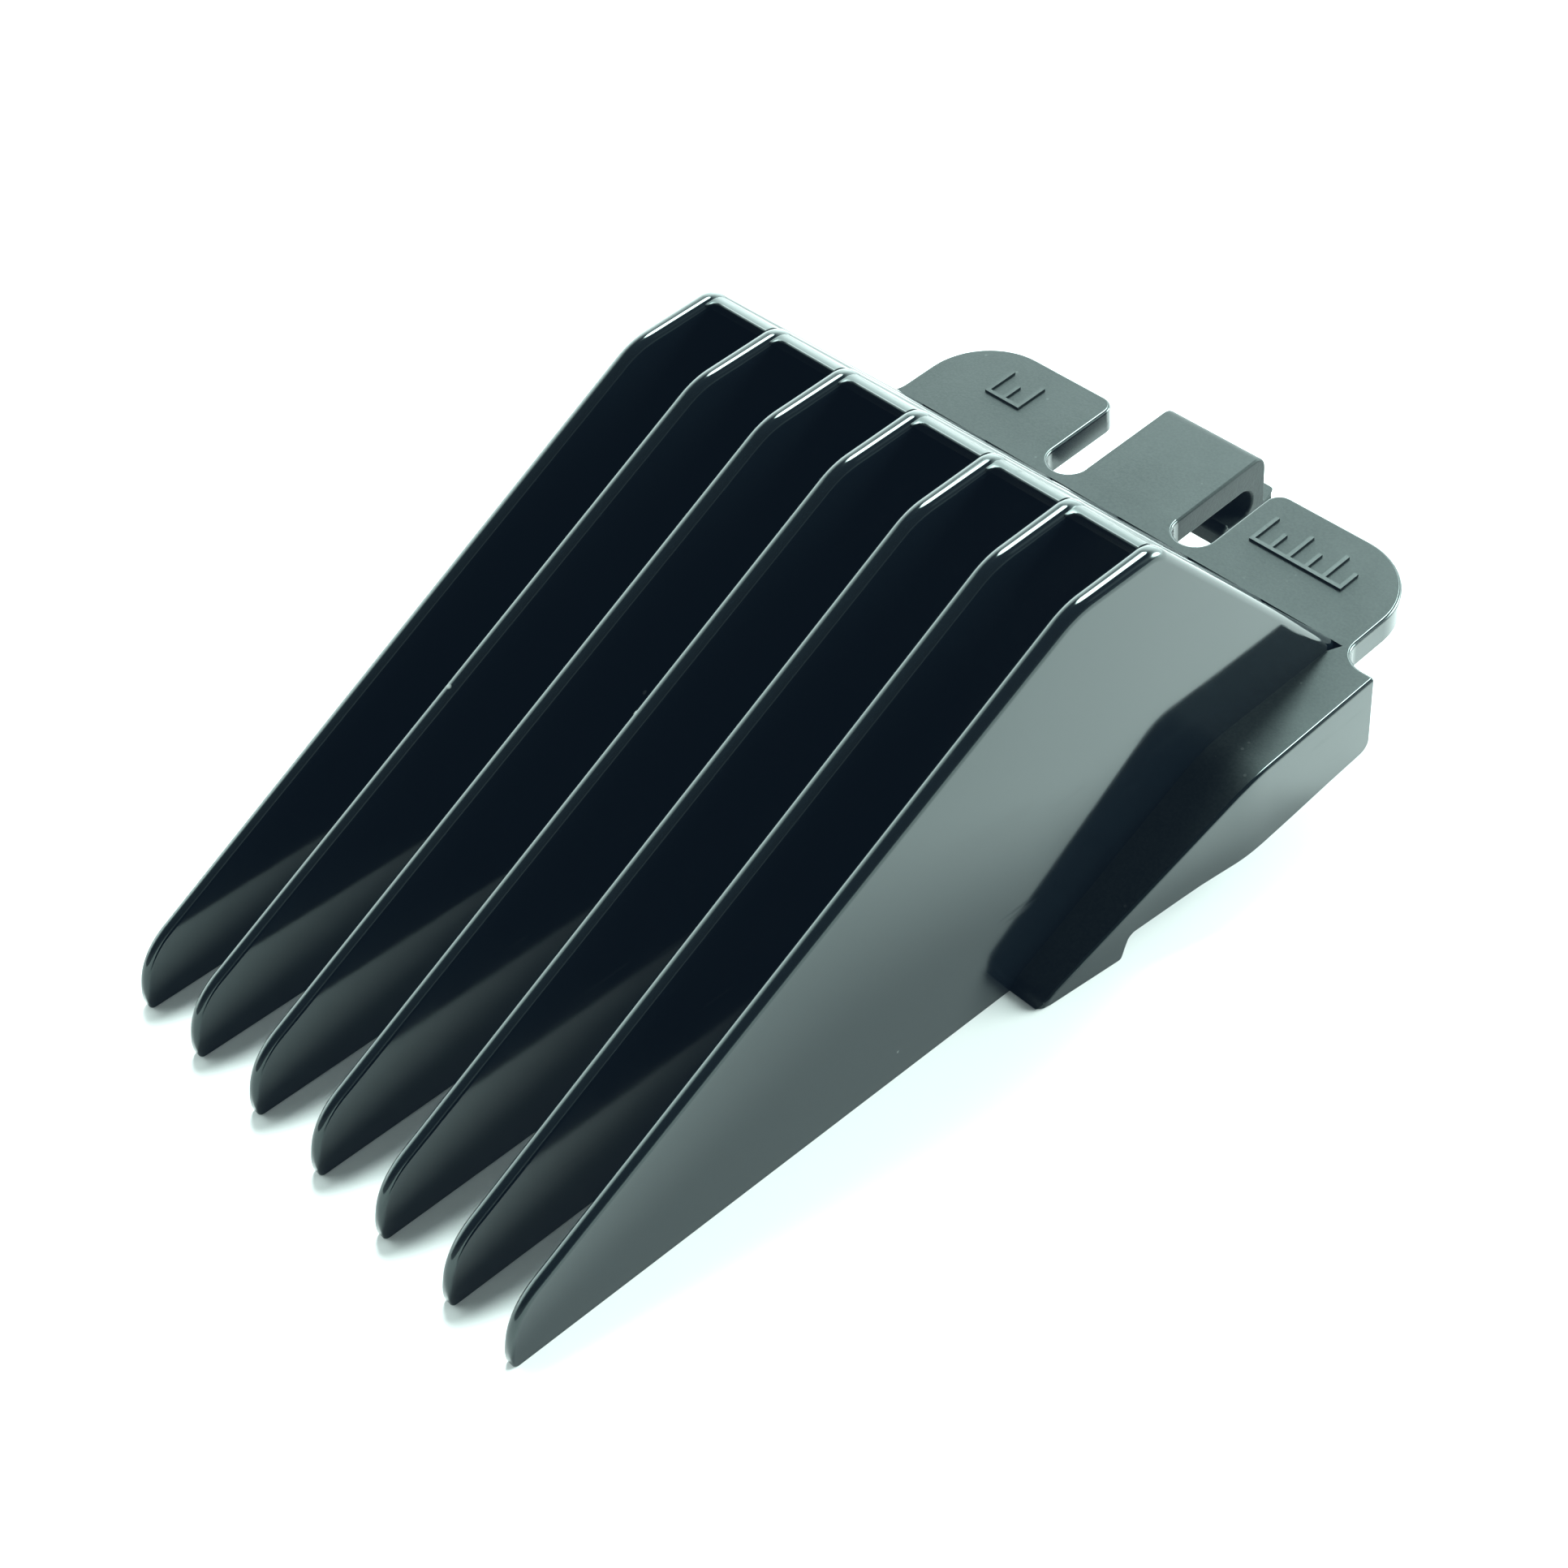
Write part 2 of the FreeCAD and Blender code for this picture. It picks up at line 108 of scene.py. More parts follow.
PITCH = (next_low.x + next_high.x) / 2
CROWN = tooth_high.z
DECK_TOP, SEAT = deck_high.z, deck_low.z
DECK_THICK = DECK_TOP - SEAT
DECK_FRONT = tooth_high.y
ARM_ROOT = ear_low.y
EAR_SIDE, EAR_END = ear_high.x, ear_high.y
SLOT_OUTER, SLOT_INNER = ear_low.x, arm_high.x
RAIL_SIDE, RAIL_END = rail_high.x, rail_high.y
RAIL_FRONT = rail_low.y
FOOT_FRONT = foot_low.y

# ---------------------------------------------------------------- finer sizes, millimetres

# Teeth: thickness at the tip and the root, how far the outer two toe in, and the side outline.
TIP_THICK, ROOT_THICK, TIP_TOE = 0.8, 1.65, 0.74
RAMP_AT_TIP, KNEE_Y, CROWN_END = 3.83, 45.3, 52.4
TIP_CORNER, NOSE_BEND, KNEE_BEND, CROWN_BEND = 0.35, 5.0, 6.0, 2.2
SOLE_END, SOLE_DROP, HEEL_END = 45.1, 2.6, 46.2
CREST_ROUND, SOLE_ROUND = 0.6, 0.14
ROOT_LAP, ROOT_SINK = 0.9, 1.04

# Walls between the teeth: how far they lie under the backs, their lap into the teeth, and the rim.
WALL_SUNK, WALL_THICK, WALL_TUCK, WALL_BEND = 0.3, 1.5, 0.2, 1.4
WALL_FILLET, RIM_SWEEP, RIM_DROP, RIM_ROUND = 0.5, 0.6, 0.12, 0.08

# Deck, shelves and rails.
DECK_KNEE, SHELF_SLOPE = 56.3, 0.43
NOTCH, EAR_CORNER, SLOT_CORNER = 1.75, 5.5, 1.2
PLATE_INSET, PLATE_LAP = 3.6, 3
RAIL_BEND, RAIL_TOE_SLOPE, RAIL_THICK = 56.2, 0.105, 1.7
RAIL_SOLE, RAIL_BELLY, RAIL_TAIL = -0.8, -1.1, -0.6
HEEL_ROUND, TOE_ROUND, TOE_TUCK = 0.9, 1.1, 0.4
EDGE_ROUND = 0.22

# Clip: its blended root, the back's outer bend, and the tab's corners seen from above.
CLIP_BLEND, CLIP_BEND, TAB_CORNER = 3, 1.15, 1.1
CATCH_DEEP, CATCH_HIGH = 0.8, 0.5


def sole(y):
    """Height of the line that the tooth soles and the feet share."""
    return -SOLE_DROP * y / SOLE_END


def eased(distance, ease):
    """max(distance, 0) with its corner eased over a distance each side."""
    if distance <= -ease:
        return 0.0
    if distance >= ease:
        return distance
    return (distance + ease) ** 2 / (4 * ease)


def smooth(value, low, high):
    share = min(max((value - low) / (high - low), 0.0), 1.0)
    return share * share * (3 - 2 * share)


def tooth_middle(number, y):
    """Place across the comb of a tooth's middle plane, at y."""
    toe = {1: TIP_TOE, TOOTH_COUNT: -TIP_TOE}.get(number, 0.0)
    return PITCH * (number - (TOOTH_COUNT + 1) / 2) + toe * (1 - y / DECK_FRONT)


def tooth_thickness(y):
    return TIP_THICK + (ROOT_THICK - TIP_THICK) * y / DECK_FRONT


def shelf_top(y):
    """Height of a shelf's top, which bends down ahead of the deck's knee."""
    return DECK_TOP - SHELF_SLOPE * eased(DECK_KNEE - y, 1.6)


def rail_face(y):
    """Distance from the middle to a rail's outer face, which toes in ahead of its bend."""
    return RAIL_SIDE - RAIL_TOE_SLOPE * eased(RAIL_BEND - y, 1.2)


# ---------------------------------------------------------------- mesh helpers

def rounded(corners):
    """Turns (u, v, radius, steps) corners into a closed line with its corners as arcs."""
    line = []
    for i, (u, v, radius, steps) in enumerate(corners):
        here = Vector((u, v))
        if radius <= 0:
            line.append(here)
            continue
        before = (Vector(corners[i - 1][:2]) - here).normalized()
        after = (Vector(corners[(i + 1) % len(corners)][:2]) - here).normalized()
        half = before.angle(after) / 2
        reach = radius / math.tan(half)
        centre = here + (before + after).normalized() * radius / math.sin(half)
        start, end = here + before * reach, here + after * reach
        first = math.atan2(*(start - centre).yx)
        turn = (math.atan2(*(end - centre).yx) - first + math.pi) % (2 * math.pi) - math.pi
        for step in range(steps + 1):
            angle = first + turn * step / steps
            line.append(centre + radius * Vector((math.cos(angle), math.sin(angle))))
    return line


def inward(line):
    """For each point of a closed line, the offset that moves both its sides in by one."""
    area = sum(a.x * b.y - b.x * a.y for a, b in zip(line, line[1:] + line[:1]))
    turn = 1 if area > 0 else -1
    offsets = []
    for i, here in enumerate(line):
        before = (here - line[i - 1]).normalized()
        after = (line[(i + 1) % len(line)] - here).normalized()
        normal_before = Vector((-before.y, before.x)) * turn
        normal_after = Vector((-after.y, after.x)) * turn
        middle = (normal_before + normal_after).normalized()
        offsets.append(middle / max(middle.dot(normal_before), 0.35))
    return offsets


def finished(name, bm, material, nodes, body="comb", weld=1e-5):
    """Makes the named piece from a level-frame mesh and hangs it on its body."""
    bmesh.ops.remove_doubles(bm, verts=bm.verts, dist=weld)
    bmesh.ops.dissolve_degenerate(bm, edges=bm.edges, dist=weld)
    bmesh.ops.recalc_face_normals(bm, faces=bm.faces)
    bm.transform(TO_ROW)
    mesh = bpy.data.meshes.new(name)
    bm.to_mesh(mesh)
    bm.free()
    piece = bpy.data.objects.new(name, mesh)
    bpy.context.scene.collection.objects.link(piece)
    mesh.materials.append(material)
    mesh.shade_smooth()
    if body:
        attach(piece, body)
    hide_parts(*nodes)
    return piece


def bridge(bm, ring, other):
    count = len(ring)
    for i in range(count):
        corners = [ring[i], ring[(i + 1) % count], other[(i + 1) % count], other[i]]
        bm.faces.new(corners)


def weighted(piece):
    """Keeps flat faces flat to the eye beside their rounded edges."""
    normals = piece.modifiers.new("flat_faces", "WEIGHTED_NORMAL")
    normals.mode = "FACE_AREA"
    normals.weight = 100
    normals.keep_sharp = True


# ---------------------------------------------------------------- teeth

def tooth(number, material):
    """A blade with rounded edges along its nose, ramp, crown and back, and a crisp sole."""
    side = rounded([
        (0, 0, TIP_CORNER, 4), (0, RAMP_AT_TIP, NOSE_BEND, 14), (KNEE_Y, CROWN, KNEE_BEND, 8),
        (CROWN_END, CROWN, CROWN_BEND, 10), (DECK_FRONT + ROOT_LAP, DECK_TOP - ROOT_SINK, 0, 1),
        (DECK_FRONT + ROOT_LAP, SEAT + 0.1, 0, 1), (DECK_FRONT, SEAT, 0, 1),
        (DECK_KNEE, SEAT, 1.5, 3), (HEEL_END, shelf_top(HEEL_END) - DECK_THICK, 0.3, 3),
        (SOLE_END, sole(SOLE_END), 0.25, 4),
    ])
    offsets = inward(side)
    bm = bmesh.new()
    rings = []
    for side_sign in (-1, 1):
        angles = range(-90, 1, 15) if side_sign < 0 else range(0, 91, 15)
        for degrees in angles:
            lift, tuck = math.sin(math.radians(degrees)), 1 - math.cos(math.radians(degrees))
            ring = []
            for point, offset in zip(side, offsets):
                half = tooth_thickness(point.x) / 2
                crest = max(smooth(point.y, 0.3, 2.2) * (point.x < SOLE_END - 5),
                            point.y > DECK_TOP - 2 and point.x > 30)
                radius = SOLE_ROUND + (min(half * 0.94, CREST_ROUND) - SOLE_ROUND) * crest
                moved = point + offset * radius * tuck
                half = tooth_thickness(moved.x) / 2
                across = side_sign * (half - radius) + radius * lift
                middle = tooth_middle(number, moved.x)
                ring.append(bm.verts.new((middle + across, moved.x, moved.y)))
            rings.append(ring)
    for ring, other in zip(rings, rings[1:]):
        bridge(bm, ring, other)
    bm.faces.new(rings[0])
    bm.faces.new(rings[-1])
    piece = finished(f"tooth_{number}_blade", bm, material, [f"tooth_{number}"])
    weighted(piece)
    return piece


# ---------------------------------------------------------------- walls between the teeth

def hollow(beside, radius):
    """How far a fillet of this radius climbs at a distance beside the face it runs into."""
    short = min(max(radius - beside, 0.0), radius)
    return radius - math.sqrt(radius * radius - short * short)


def rear_wall(number, material, inner_painted_shade_material):
    """The panel behind one gap. Its rim lies just under the crowns and sweeps forward into one. Its
    inner face is painted shade: it takes a copy of the polished plastic with its shine nearly off,
    so it reads dark.
    """
    fall = (CROWN - DECK_TOP) / (DECK_FRONT - CROWN_END)
    slope = Vector((1, -fall)).normalized()
    out = Vector((-slope.y, slope.x))
    foot = Vector((DECK_FRONT, DECK_TOP)) + slope * ROOT_LAP
    rim = CROWN_END - WALL_BEND * math.tan(slope.angle(Vector((1, 0))) / 2) - 0.25
    rim_top = CROWN - RIM_DROP
    width = PITCH - tooth_thickness(CROWN_END) + 2 * WALL_TUCK
    bm = bmesh.new()
    rings = []
    columns = 24
    for column in range(columns + 1):
        share = (1 - math.cos(math.pi * column / columns)) / 2
        beside = min(share, 1 - share) * width - WALL_TUCK
        depth = WALL_SUNK - min(hollow(beside, WALL_FILLET), WALL_SUNK)
        section = rounded([
            (rim - hollow(share * width - WALL_TUCK, RIM_SWEEP), rim_top, RIM_ROUND, 4),
            (CROWN_END - 0.1, rim_top, WALL_BEND, 10),
            (*(foot - out * depth), 0, 1), (*(foot - out * (WALL_SUNK + WALL_THICK)), 0, 1),
        ])
        ring = []
        for point in section:
            reach = tooth_thickness(point.x) / 2 - WALL_TUCK
            left = tooth_middle(number, point.x) + reach
            right = tooth_middle(number + 1, point.x) - reach
            ring.append(bm.verts.new((left + (right - left) * share, point.x, point.y)))
        rings.append(ring)
    for ring, other in zip(rings, rings[1:]):
        bridge(bm, ring, other)
        bm.faces.ensure_lookup_table()
        # The inner face takes the second material, the polished plastic with its shine nearly off:
        # painted shade.
        bm.faces[-1].material_index = 1
    bm.faces.new(rings[0])
    bm.faces.new(rings[-1])
    piece = finished(f"rear_wall_{number}_panel", bm, material,
                     [f"rear_wall_{number}"])
    piece.data.materials.append(inner_painted_shade_material)
    weighted(piece)
    return piece


# ---------------------------------------------------------------- deck, ears, shelves, rails, feet

def prism(name, line, low, high, to_point):
    """A straight solid on a closed line, as a loose level-frame object for joining."""
    bm = bmesh.new()
    bottom = [bm.verts.new(to_point(p, low)) for p in line]
    top = [bm.verts.new(to_point(p, high)) for p in line]
    bridge(bm, bottom, top)
    bm.faces.new(bottom)
    bm.faces.new(top)
    return loose(name, bm)


def loose(name, bm):
    bmesh.ops.remove_doubles(bm, verts=bm.verts, dist=1e-4)
    bmesh.ops.dissolve_degenerate(bm, edges=bm.edges, dist=1e-4)
    bmesh.ops.recalc_face_normals(bm, faces=bm.faces)
    mesh = bpy.data.meshes.new(name)
    bm.to_mesh(mesh)
    bm.free()
    made = bpy.data.objects.new(name, mesh)
    bpy.context.scene.collection.objects.link(made)
    return made


def deck_plate():
    """The flat deck with its ears, the slots beside the clip and the notches by the rails.

    The right half runs from the outer tooth's foot round to the clip, and the left mirrors it.
    """
    slot_middle = (SLOT_INNER + SLOT_OUTER) / 2
    slot_radius = (SLOT_OUTER - SLOT_INNER) / 2
    inner, lap = RAIL_SIDE - PLATE_INSET, RAIL_END - PLATE_LAP
    half = [
        (inner, DECK_FRONT, 0, 1), (inner, lap, 0, 1), (EAR_SIDE + NOTCH, lap, 0, 1),
        (EAR_SIDE + NOTCH, RAIL_END, 0, 1),
    ]
    for step in range(1, 9):
        angle = math.radians(90 * step / 8)
        half.append((EAR_SIDE + NOTCH - NOTCH * math.sin(angle),
                     RAIL_END + NOTCH - NOTCH * math.cos(angle), 0, 1))
    half += [(EAR_SIDE, EAR_END, EAR_CORNER, 18), (SLOT_OUTER, EAR_END, SLOT_CORNER, 8)]
    for step in range(17):
        angle = math.radians(180 * step / 16)
        half.append((slot_middle + slot_radius * math.cos(angle),
                     ARM_ROOT - slot_radius * math.sin(angle), 0, 1))
    mirrored = [(-u, v, radius, steps) for u, v, radius, steps in reversed(half)]
    line = rounded(half + mirrored)
    return prism("deck_plate", line, SEAT, DECK_TOP, lambda p, z: (p.x, p.y, z))


def rail_bottom(y):
    """Height of a rail's lower edge: the foot, its stop, the shallow belly and the tail."""
    if y <= SOLE_END:
        return sole(y)
    belly = RAIL_SOLE + (RAIL_BELLY - RAIL_SOLE) * smooth(y, RAIL_BEND - 5, RAIL_BEND)
    tail = belly + (RAIL_TAIL - RAIL_BELLY) * smooth(y, RAIL_BEND, RAIL_END)
    behind = max(y - RAIL_END + HEEL_ROUND, 0.0)
    heel = HEEL_ROUND - math.sqrt(max(HEEL_ROUND ** 2 - behind ** 2, 0.0))
    step = 1 - smooth(y, SOLE_END + 0.1, HEEL_END + 0.3)
    return tail + heel + (sole(SOLE_END) - RAIL_SOLE) * step ** 2


def side_rail(hand):
    """One rail with its shelf and foot, lofted along Y. hand is -1 (left) or 1 (right)."""
    bm = bmesh.new()
    solid_places = [FOOT_FRONT + d for d in (0.0, 0.05, 0.15, 0.3, 0.5, 0.8, 1.2, 1.7, 2.5, 4.0)]
    solid_places += [SOLE_END + d for d in (0.0, 0.12, 0.25, 0.4, 0.6, 0.85, 1.1, 1.4)]
    hollow_places = [RAIL_FRONT + d for d in (1.5, 3, 4.5, 6)]
    hollow_places += [DECK_KNEE + d for d in (-1.6, -1.2, -0.8, -0.4, 0.0, 0.4, 0.8, 1.2, 1.6)]
    hollow_places += [RAIL_END + d for d in (-8, -4, -0.9, -0.6, -0.35, -0.15, -0.05, 0.0)]
    stations = [(y, True) for y in solid_places] + [(RAIL_FRONT, True), (RAIL_FRONT, False)]
    stations += [(y, False) for y in hollow_places]
    rings = [side_ring(bm, hand, y, solid) for y, solid in stations]
    for ring, other in zip(rings, rings[1:]):
        bridge(bm, ring, other)
    bm.faces.new(rings[0])
    bm.faces.new(rings[-1])
    return loose(f"side_rail_{'left' if hand < 0 else 'right'}", bm)


def side_ring(bm, hand, y, solid):
    """The section of a side rail at y: shelf, outer face, sole, inner wall and roof."""
    tooth_face = tooth_middle(TOOTH_COUNT, y) + tooth_thickness(y) / 2
    ahead = max(FOOT_FRONT + TOE_ROUND - y, 0.0)
    nose = TOE_ROUND - math.sqrt(max(TOE_ROUND ** 2 - ahead ** 2, 0.0))
    bottom = rail_bottom(y)
    top = max(shelf_top(y) - nose, bottom + 0.06)
    outer = rail_face(y) - TOE_TUCK * (1 - smooth(y, FOOT_FRONT, FOOT_FRONT + 0.9)) ** 2
    inner = tooth_face - 0.4
    wall, roof = outer - RAIL_THICK, shelf_top(y) - DECK_THICK
    if solid:
        wall, roof = inner, bottom
    points = [(inner, top), (outer, top), (outer, bottom), (wall, bottom), (wall, roof),
              (inner, roof)]
    return [bm.verts.new((x * hand, y, z)) for x, z in points]


def join(base, others):
    """Joins solids into one skin with exact booleans."""
    for other in others:
        union = base.modifiers.new(other.name, "BOOLEAN")
        union.operation = "UNION"
        union.solver = "EXACT"
        union.object = other
    bpy.context.view_layer.update()
    evaluated = base.evaluated_get(bpy.context.evaluated_depsgraph_get())
    bm = bmesh.new()
    bm.from_mesh(evaluated.to_mesh())
    evaluated.to_mesh_clear()
    for piece in [base] + others:
        bpy.data.objects.remove(piece)
    return bm


def bevel_marked(piece, width, segments=3, material=-1):
    bevel = piece.modifiers.new("rounded_edges", "BEVEL")
    bevel.limit_method = "WEIGHT"
    bevel.width = width * MM
    bevel.segments = segments
    bevel.use_clamp_overlap = False
    bevel.miter_outer = "MITER_ARC"
    bevel.harden_normals = True
    bevel.material = material


def mark_edges(bm, keep_sharp, keep_soft=lambda edge: False, least=32):
    """Gives bevel weight to the edges that turn more than least degrees.

    The keep_sharp edges stay sharp and the keep_soft edges stay smooth, both without a bevel.
    """
    weight = bm.edges.layers.float.get("bevel_weight_edge")
    weight = weight or bm.edges.layers.float.new("bevel_weight_edge")
    for edge in bm.edges:
        if len(edge.link_faces) != 2:
            continue
        turns = math.degrees(edge.calc_face_angle(0.0)) > least and not keep_soft(edge)
        edge[weight] = 1.0 if turns and not keep_sharp(edge) else 0.0
        edge.smooth = not (turns and keep_sharp(edge))


def deck_shell(satin, polished):
    bm = join(deck_plate(), [side_rail(-1), side_rail(1)])
    bmesh.ops.remove_doubles(bm, verts=bm.verts, dist=0.004)
    bmesh.ops.dissolve_limit(bm, angle_limit=math.radians(0.15), verts=bm.verts, edges=bm.edges)
    bmesh.ops.recalc_face_normals(bm, faces=bm.faces)
    arm_half = SLOT_INNER + 0.01

    def hidden(edge):
        """The seam to the clip's arm, and whatever the teeth and the walls cover."""
        middle = (edge.verts[0].co + edge.verts[1].co) / 2
        at_arm = abs(middle.y - ARM_ROOT) < 0.01 and abs(middle.x) < arm_half
        by_teeth = abs(middle.x) < tooth_middle(TOOTH_COUNT, middle.y) + 0.9 and middle.y < 70
        return at_arm or by_teeth

    def thin_nose(edge):
        """The feet's noses, which are thinner than the rounding."""
        return max(v.co.y for v in edge.verts) < FOOT_FRONT + 0.55

    mark_edges(bm, hidden, thin_nose)
    shell_nodes = ["rear_deck"] + [f"{side}_{part}" for side in ("left", "right")
                                   for part in ("ear", "shelf", "rail", "foot")]
    for face in bm.faces:
        face.material_index = 0 if face.normal.z > 0.5 else 1
    piece = finished("deck_shell", bm, satin, shell_nodes, weld=1e-4)
    piece.data.materials.append(polished)
    bevel_marked(piece, EDGE_ROUND, material=1)
    return piece


# ---------------------------------------------------------------- clip

def clip_spring(material):
    """The arm, its bend, the leg with its catch and the finger tab, as one bent strip."""
    mouth_radius = (SEAT - leg_high.z) / 2
    mouth_y, mouth_z = leg_high.y, leg_high.z + mouth_radius
    catch_back, catch_high = leg_low.y + CATCH_DEEP, leg_high.z + CATCH_HIGH
    side = [(ARM_ROOT + 0.5 * i, DECK_TOP, 0, 1) for i in range(11)]
    side += [(bend_high.y, DECK_TOP, CLIP_BEND, 8), (bend_high.y, leg_high.z, 0.4, 4),
             (tab_high.y, leg_high.z, 0.3, 4), (tab_high.y, leg_low.z, 0.3, 4),
             (leg_low.y, leg_low.z, 0.3, 3), (leg_low.y, leg_high.z, 0, 1),
             (leg_low.y + 0.5, catch_high, 0, 1), (catch_back, catch_high, 0, 1),
             (catch_back, leg_high.z, 0, 1)]
    for step in range(17):
        angle = math.radians(-90 + 180 * step / 16)
        side.append((mouth_y + mouth_radius * math.cos(angle),
                     mouth_z + mouth_radius * math.sin(angle), 0, 1))
    side += [(ARM_ROOT + 0.5 * i, SEAT, 0, 1) for i in range(10, -1, -1)]
    line = rounded(side)
    bm = bmesh.new()
    rings = []
    columns = 8
    for column in range(columns + 1):
        across = SLOT_INNER * (2 * column / columns - 1)
        ring = []
        for p in line:
            past = max(p.x - (tab_high.y - TAB_CORNER), 0.0)
            tuck = TAB_CORNER - math.sqrt(max(TAB_CORNER ** 2 - past ** 2, 0.0))
            ring.append(bm.verts.new((across * (1 - tuck / SLOT_INNER), p.x, p.y)))
        rings.append(ring)
    for ring, other in zip(rings, rings[1:]):
        bridge(bm, ring, other)
    bm.faces.new(rings[0])
    bm.faces.new(rings[-1])
    bmesh.ops.recalc_face_normals(bm, faces=bm.faces)
    mark_edges(bm, lambda edge: all(abs(v.co.y - ARM_ROOT) < 0.01 for v in edge.verts))
    nodes = ["clip_arm", "clip_bend", "clip_leg", "clip_catch", "finger_tab"]
    piece = finished("clip_spring", bm, material, nodes, body=None)
    bevel_marked(piece, EDGE_ROUND)
    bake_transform(piece)
    return piece


# ---------------------------------------------------------------- materials

def nodes_of(name):
    material = bpy.data.materials.new(name)
    material.use_nodes = True
    tree = material.node_tree
    shader = tree.nodes["Principled BSDF"]
    place = tree.nodes.new("ShaderNodeTexCoord").outputs["Object"]
    return material, tree, shader, place


def noise(tree, place, scale, detail=3.0, roughness=0.5, stretch=None):
    """A noise texture whose scale is in features per metre, stretched along an axis if asked."""
    vector = place
    if stretch:
        mapping = tree.nodes.new("ShaderNodeMapping")
        mapping.inputs["Scale"].default_value = stretch
        tree.links.new(place, mapping.inputs["Vector"])
        vector = mapping.outputs["Vector"]
    texture = tree.nodes.new("ShaderNodeTexNoise")
    texture.inputs["Scale"].default_value = scale
    texture.inputs["Detail"].default_value = detail
    texture.inputs["Roughness"].default_value = roughness
    tree.links.new(vector, texture.inputs["Vector"])
    return texture.outputs["Fac"]


def ramp(tree, value, low, high, out_low, out_high):
    """Maps low..high of a value to out_low..out_high, clamped."""
    span_node = tree.nodes.new("ShaderNodeMapRange")
    for socket, number in (("From Min", low), ("From Max", high),
                           ("To Min", out_low), ("To Max", out_high)):
        span_node.inputs[socket].default_value = number
    tree.links.new(value, span_node.inputs["Value"])
    return span_node.outputs["Result"]


def combine(tree, operation, first, second):
    maths = tree.nodes.new("ShaderNodeMath")
    maths.operation = operation
    for socket, value in zip(maths.inputs, (first, second)):
        if isinstance(value, (int, float)):
            socket.default_value = value
        else:
            tree.links.new(value, socket)
    return maths.outputs["Value"]


def tinted(tree, share, dark, light):
    mix = tree.nodes.new("ShaderNodeMix")
    mix.data_type = "RGBA"
    mix.inputs[6].default_value = (*dark, 1)
    mix.inputs[7].default_value = (*light, 1)
    tree.links.new(share, mix.inputs[0])
    return mix.outputs[2]


def bumped(tree, shader, height, distance, strength=1.0):
    bump = tree.nodes.new("ShaderNodeBump")
    bump.inputs["Distance"].default_value = distance
    bump.inputs["Strength"].default_value = strength
    tree.links.new(height, bump.inputs["Height"])
    tree.links.new(bump.outputs["Normal"], shader.inputs["Normal"])


def dust(tree, place, scale=420, reach=0.05, rarity=0.86):
    """Sparse light specks: 1 on a speck, 0 elsewhere."""
    cells = tree.nodes.new("ShaderNodeTexVoronoi")
    cells.inputs["Scale"].default_value = scale
    tree.links.new(place, cells.inputs["Vector"])
    near = ramp(tree, cells.outputs["Distance"], reach, reach + 0.04, 1, 0)
    chosen = ramp(tree, cells.outputs["Color"], rarity, rarity + 0.02, 0, 1)
    return combine(tree, "MULTIPLY", near, chosen)


def polished_plastic(name, roughness, shine=0.37):
    """Polished black moulding: slight flow waves, handling haze, hairline scratches, dust."""
    material, tree, shader, place = nodes_of(name)
    haze = noise(tree, place, 70, 4, 0.6)
    scratches = noise(tree, place, 900, 2, 0.5, stretch=(1, 0.12, 1))
    scratch = ramp(tree, scratches, 0.66, 0.72, 0, 1)
    speck = dust(tree, place)
    worn = combine(tree, "MAXIMUM", combine(tree, "MULTIPLY", scratch, 0.35), speck)
    colour = tinted(tree, combine(tree, "MULTIPLY", speck, 0.5), (0.0016, 0.0026, 0.0036),
                    (0.2, 0.21, 0.2))
    tree.links.new(colour, shader.inputs["Base Color"])
    base = ramp(tree, haze, 0.35, 0.7, roughness, roughness + 0.05)
    tree.links.new(combine(tree, "ADD", base, combine(tree, "MULTIPLY", worn, 0.3)),
                   shader.inputs["Roughness"])
    shader.inputs["IOR"].default_value = 1.52
    shader.inputs["Specular IOR Level"].default_value = shine
    shader.inputs["Specular Tint"].default_value = (0.86, 1.0, 0.97, 1)
    waves = noise(tree, place, 55, 1, 0.4)
    height = combine(tree, "ADD", waves, combine(tree, "MULTIPLY", speck, 0.02))
    bumped(tree, shader, height, 0.00006)
    return material


def satin_plastic(name, roughness):
    """Spark-eroded black moulding: a fine grain with a soft, broad shine."""
    material, tree, shader, place = nodes_of(name)
    grain = noise(tree, place, 5200, 2, 0.6)
    coarse = noise(tree, place, 1500, 3, 0.55)
    patch = noise(tree, place, 120, 4, 0.6)
    speck = combine(tree, "MAXIMUM", dust(tree, place),
                    combine(tree, "MULTIPLY", dust(tree, place, 1300, 0.12, 0.8), 0.22))
    mottle = combine(tree, "MULTIPLY", ramp(tree, patch, 0.3, 0.8, 0.4, 1),
                     ramp(tree, grain, 0.35, 0.65, 0, 0.05))
    colour = tinted(tree, combine(tree, "MAXIMUM", combine(tree, "MULTIPLY", speck, 0.6), mottle),
                    (0.0035, 0.005, 0.005), (0.16, 0.17, 0.165))
    tree.links.new(colour, shader.inputs["Base Color"])
    tree.links.new(ramp(tree, patch, 0.3, 0.7, roughness - 0.03, roughness + 0.05),
                   shader.inputs["Roughness"])
    shader.inputs["IOR"].default_value = 1.52
    shader.inputs["Specular IOR Level"].default_value = 0.12
    shader.inputs["Specular Tint"].default_value = (0.86, 1.0, 0.97, 1)
    height = combine(tree, "ADD", grain, combine(tree, "MULTIPLY", coarse, 1.3))
    bumped(tree, shader, height, 0.000009)
    return material


# ---------------------------------------------------------------- stage, light and camera

# Strengths of the room, the way its dark side lies, and each lamp's direction, its half-width
# and soft edge in degrees, and its strength.
BAND, HORIZON, CEILING = 2.1, 0.2, 0.05
DARK_SIDE = (0.77, -0.64, 0.0)
LAMPS = (((-0.32, 0.455, 0.83), 9, 4, 19.0), ((0.45, 0.82, 0.35), 12, 4, 11.0))


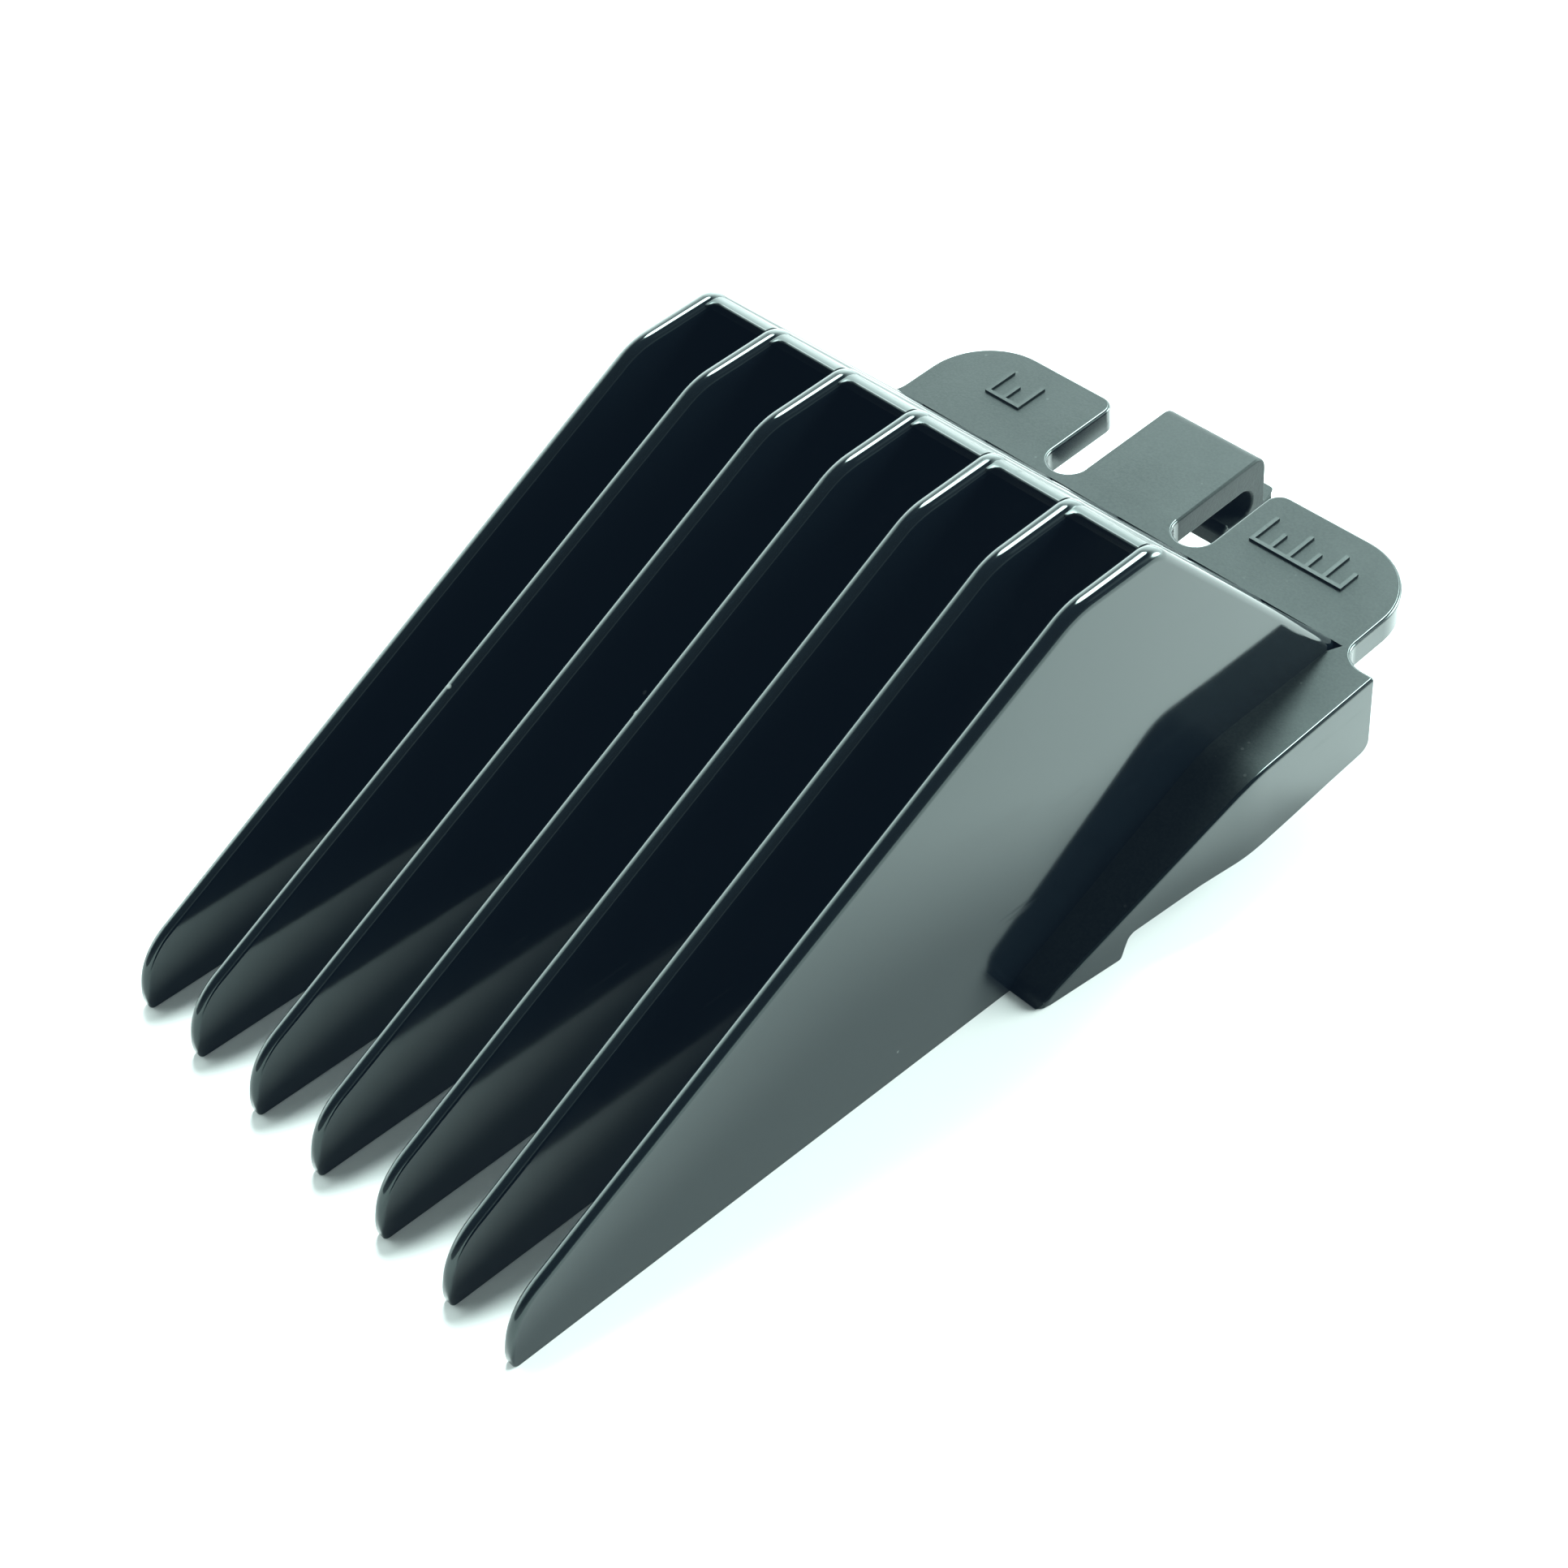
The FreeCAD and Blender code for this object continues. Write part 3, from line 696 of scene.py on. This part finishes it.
def floor():
    size = 12.0
    bm = bmesh.new()
    bmesh.ops.create_grid(bm, x_segments=1, y_segments=1, size=size)
    mesh = bpy.data.meshes.new("table")
    bm.to_mesh(mesh)
    bm.free()
    table = bpy.data.objects.new("table", mesh)
    bpy.context.scene.collection.objects.link(table)
    material, tree, shader, place = nodes_of("pale_table")
    shader.inputs["Base Color"].default_value = (0.84, 0.825, 0.82, 1)
    shader.inputs["Roughness"].default_value = 0.6
    shader.inputs["Specular IOR Level"].default_value = 0.2
    mesh.materials.append(material)


def lights():
    """A soft lamp overhead, a bright band low on the left and behind, and a dark room elsewhere."""
    world = bpy.data.worlds.new("soft_room")
    bpy.context.scene.world = world
    world.use_nodes = True
    tree = world.node_tree
    heading = tree.nodes.new("ShaderNodeTexCoord").outputs["Generated"]
    split = tree.nodes.new("ShaderNodeSeparateXYZ")
    tree.links.new(heading, split.inputs["Vector"])
    height = split.outputs["Z"]
    lit_side = ramp(tree, toward(tree, heading, DARK_SIDE), -0.25, 0.25, 1, 0)
    band = ramp(tree, height, 0.44, 0.78, BAND, 0)
    dim = ramp(tree, height, 0.1, 0.35, HORIZON, CEILING)
    strength = combine(tree, "ADD", combine(tree, "MULTIPLY", band, lit_side), dim)
    for heading_to, reach, edge, level in LAMPS:
        far, near = (math.cos(math.radians(a)) for a in (reach + edge, reach))
        glow = ramp(tree, toward(tree, heading, heading_to), far, near, 0, level)
        strength = combine(tree, "ADD", strength, glow)
    background = tree.nodes["Background"]
    background.inputs["Color"].default_value = (0.80, 1.0, 0.97, 1)
    tree.links.new(strength, background.inputs["Strength"])


def toward(tree, heading, direction):
    """Cosine of the angle between the heading and a direction."""
    product = tree.nodes.new("ShaderNodeVectorMath")
    product.operation = "DOT_PRODUCT"
    product.inputs[1].default_value = Vector(direction).normalized()
    tree.links.new(heading, product.inputs[0])
    return product.outputs["Value"]


def camera():
    """The camera's place in the comb's level frame, in millimetres, and its turn in degrees."""
    place = Vector((92.2, -31.7, 125.4))
    azimuth, elevation, roll = (math.radians(a) for a in (50.59, 43.99, -6.40))
    back = Vector((math.sin(azimuth) * math.cos(elevation),
                   -math.cos(azimuth) * math.cos(elevation), math.sin(elevation)))
    right = Vector((0, 0, 1)).cross(back).normalized()
    up = back.cross(right)
    right, up = (right * math.cos(roll) + up * math.sin(roll),
                 up * math.cos(roll) - right * math.sin(roll))
    turn = TO_ROW.to_3x3().normalized() @ Matrix((right, up, back)).transposed()
    data = bpy.data.cameras.new("camera")
    data.sensor_width = 36
    data.lens = 59.7
    data.shift_x, data.shift_y = -0.037, -0.0808
    data.clip_start = 0.01
    view = bpy.data.objects.new("camera", data)
    view.matrix_world = Matrix.Translation(row(*place)) @ turn.to_4x4()
    bpy.context.scene.collection.objects.link(view)
    bpy.context.scene.camera = view


def film():
    """A phone camera's response: whites roll off softly, shadows stay open."""
    settings = bpy.context.scene.view_settings
    settings.view_transform = "Standard"
    settings.look = "None"
    settings.exposure = 2.0
    settings.use_curve_mapping = True
    curve = settings.curve_mapping
    white = 6.0
    curve.white_level = (white, white, white)
    for channel, veil in zip(curve.curves, (0.00014, 0.00028, 0.00048)):
        channel.points[0].location = (0, veil)
    line = curve.curves[3]
    for share in (0.02, 0.05, 0.1, 0.17, 0.26, 0.4, 0.6):
        line.points.new(share, 1 - math.exp(-white * share))
    line.points[-1].location = (1, 1)
    curve.update()


# ---------------------------------------------------------------- the comb

glossy = polished_plastic("polished_black", 0.07)
glossy_wall = polished_plastic("polished_black_wall", 0.27)
# Painted shade: the walls' inner faces take this copy of the polished plastic with its shine nearly
# off, so they read dark.
gap_black_painted_shade = polished_plastic("polished_black_gap_painted_shade", 0.3, shine=0.02)
glossy_rail = polished_plastic("polished_black_rail", 0.14)
satin = satin_plastic("satin_black", 0.5)
satin_clip = satin_plastic("satin_black_clip", 0.48)
smooth_mark = satin_plastic("satin_black_mark", 0.38)

for tooth_number in range(1, TOOTH_COUNT + 1):
    tooth(tooth_number, glossy)
for wall_number in range(1, TOOTH_COUNT):
    rear_wall(wall_number, glossy_wall, gap_black_painted_shade)
deck_shell(satin, glossy_rail)
clip_spring(satin_clip)
for side in ("left", "right"):
    marks = NODES[f"{side}_marks"]
    marks.data.materials.clear()
    marks.data.materials.append(smooth_mark)

floor()
lights()
camera()
film()
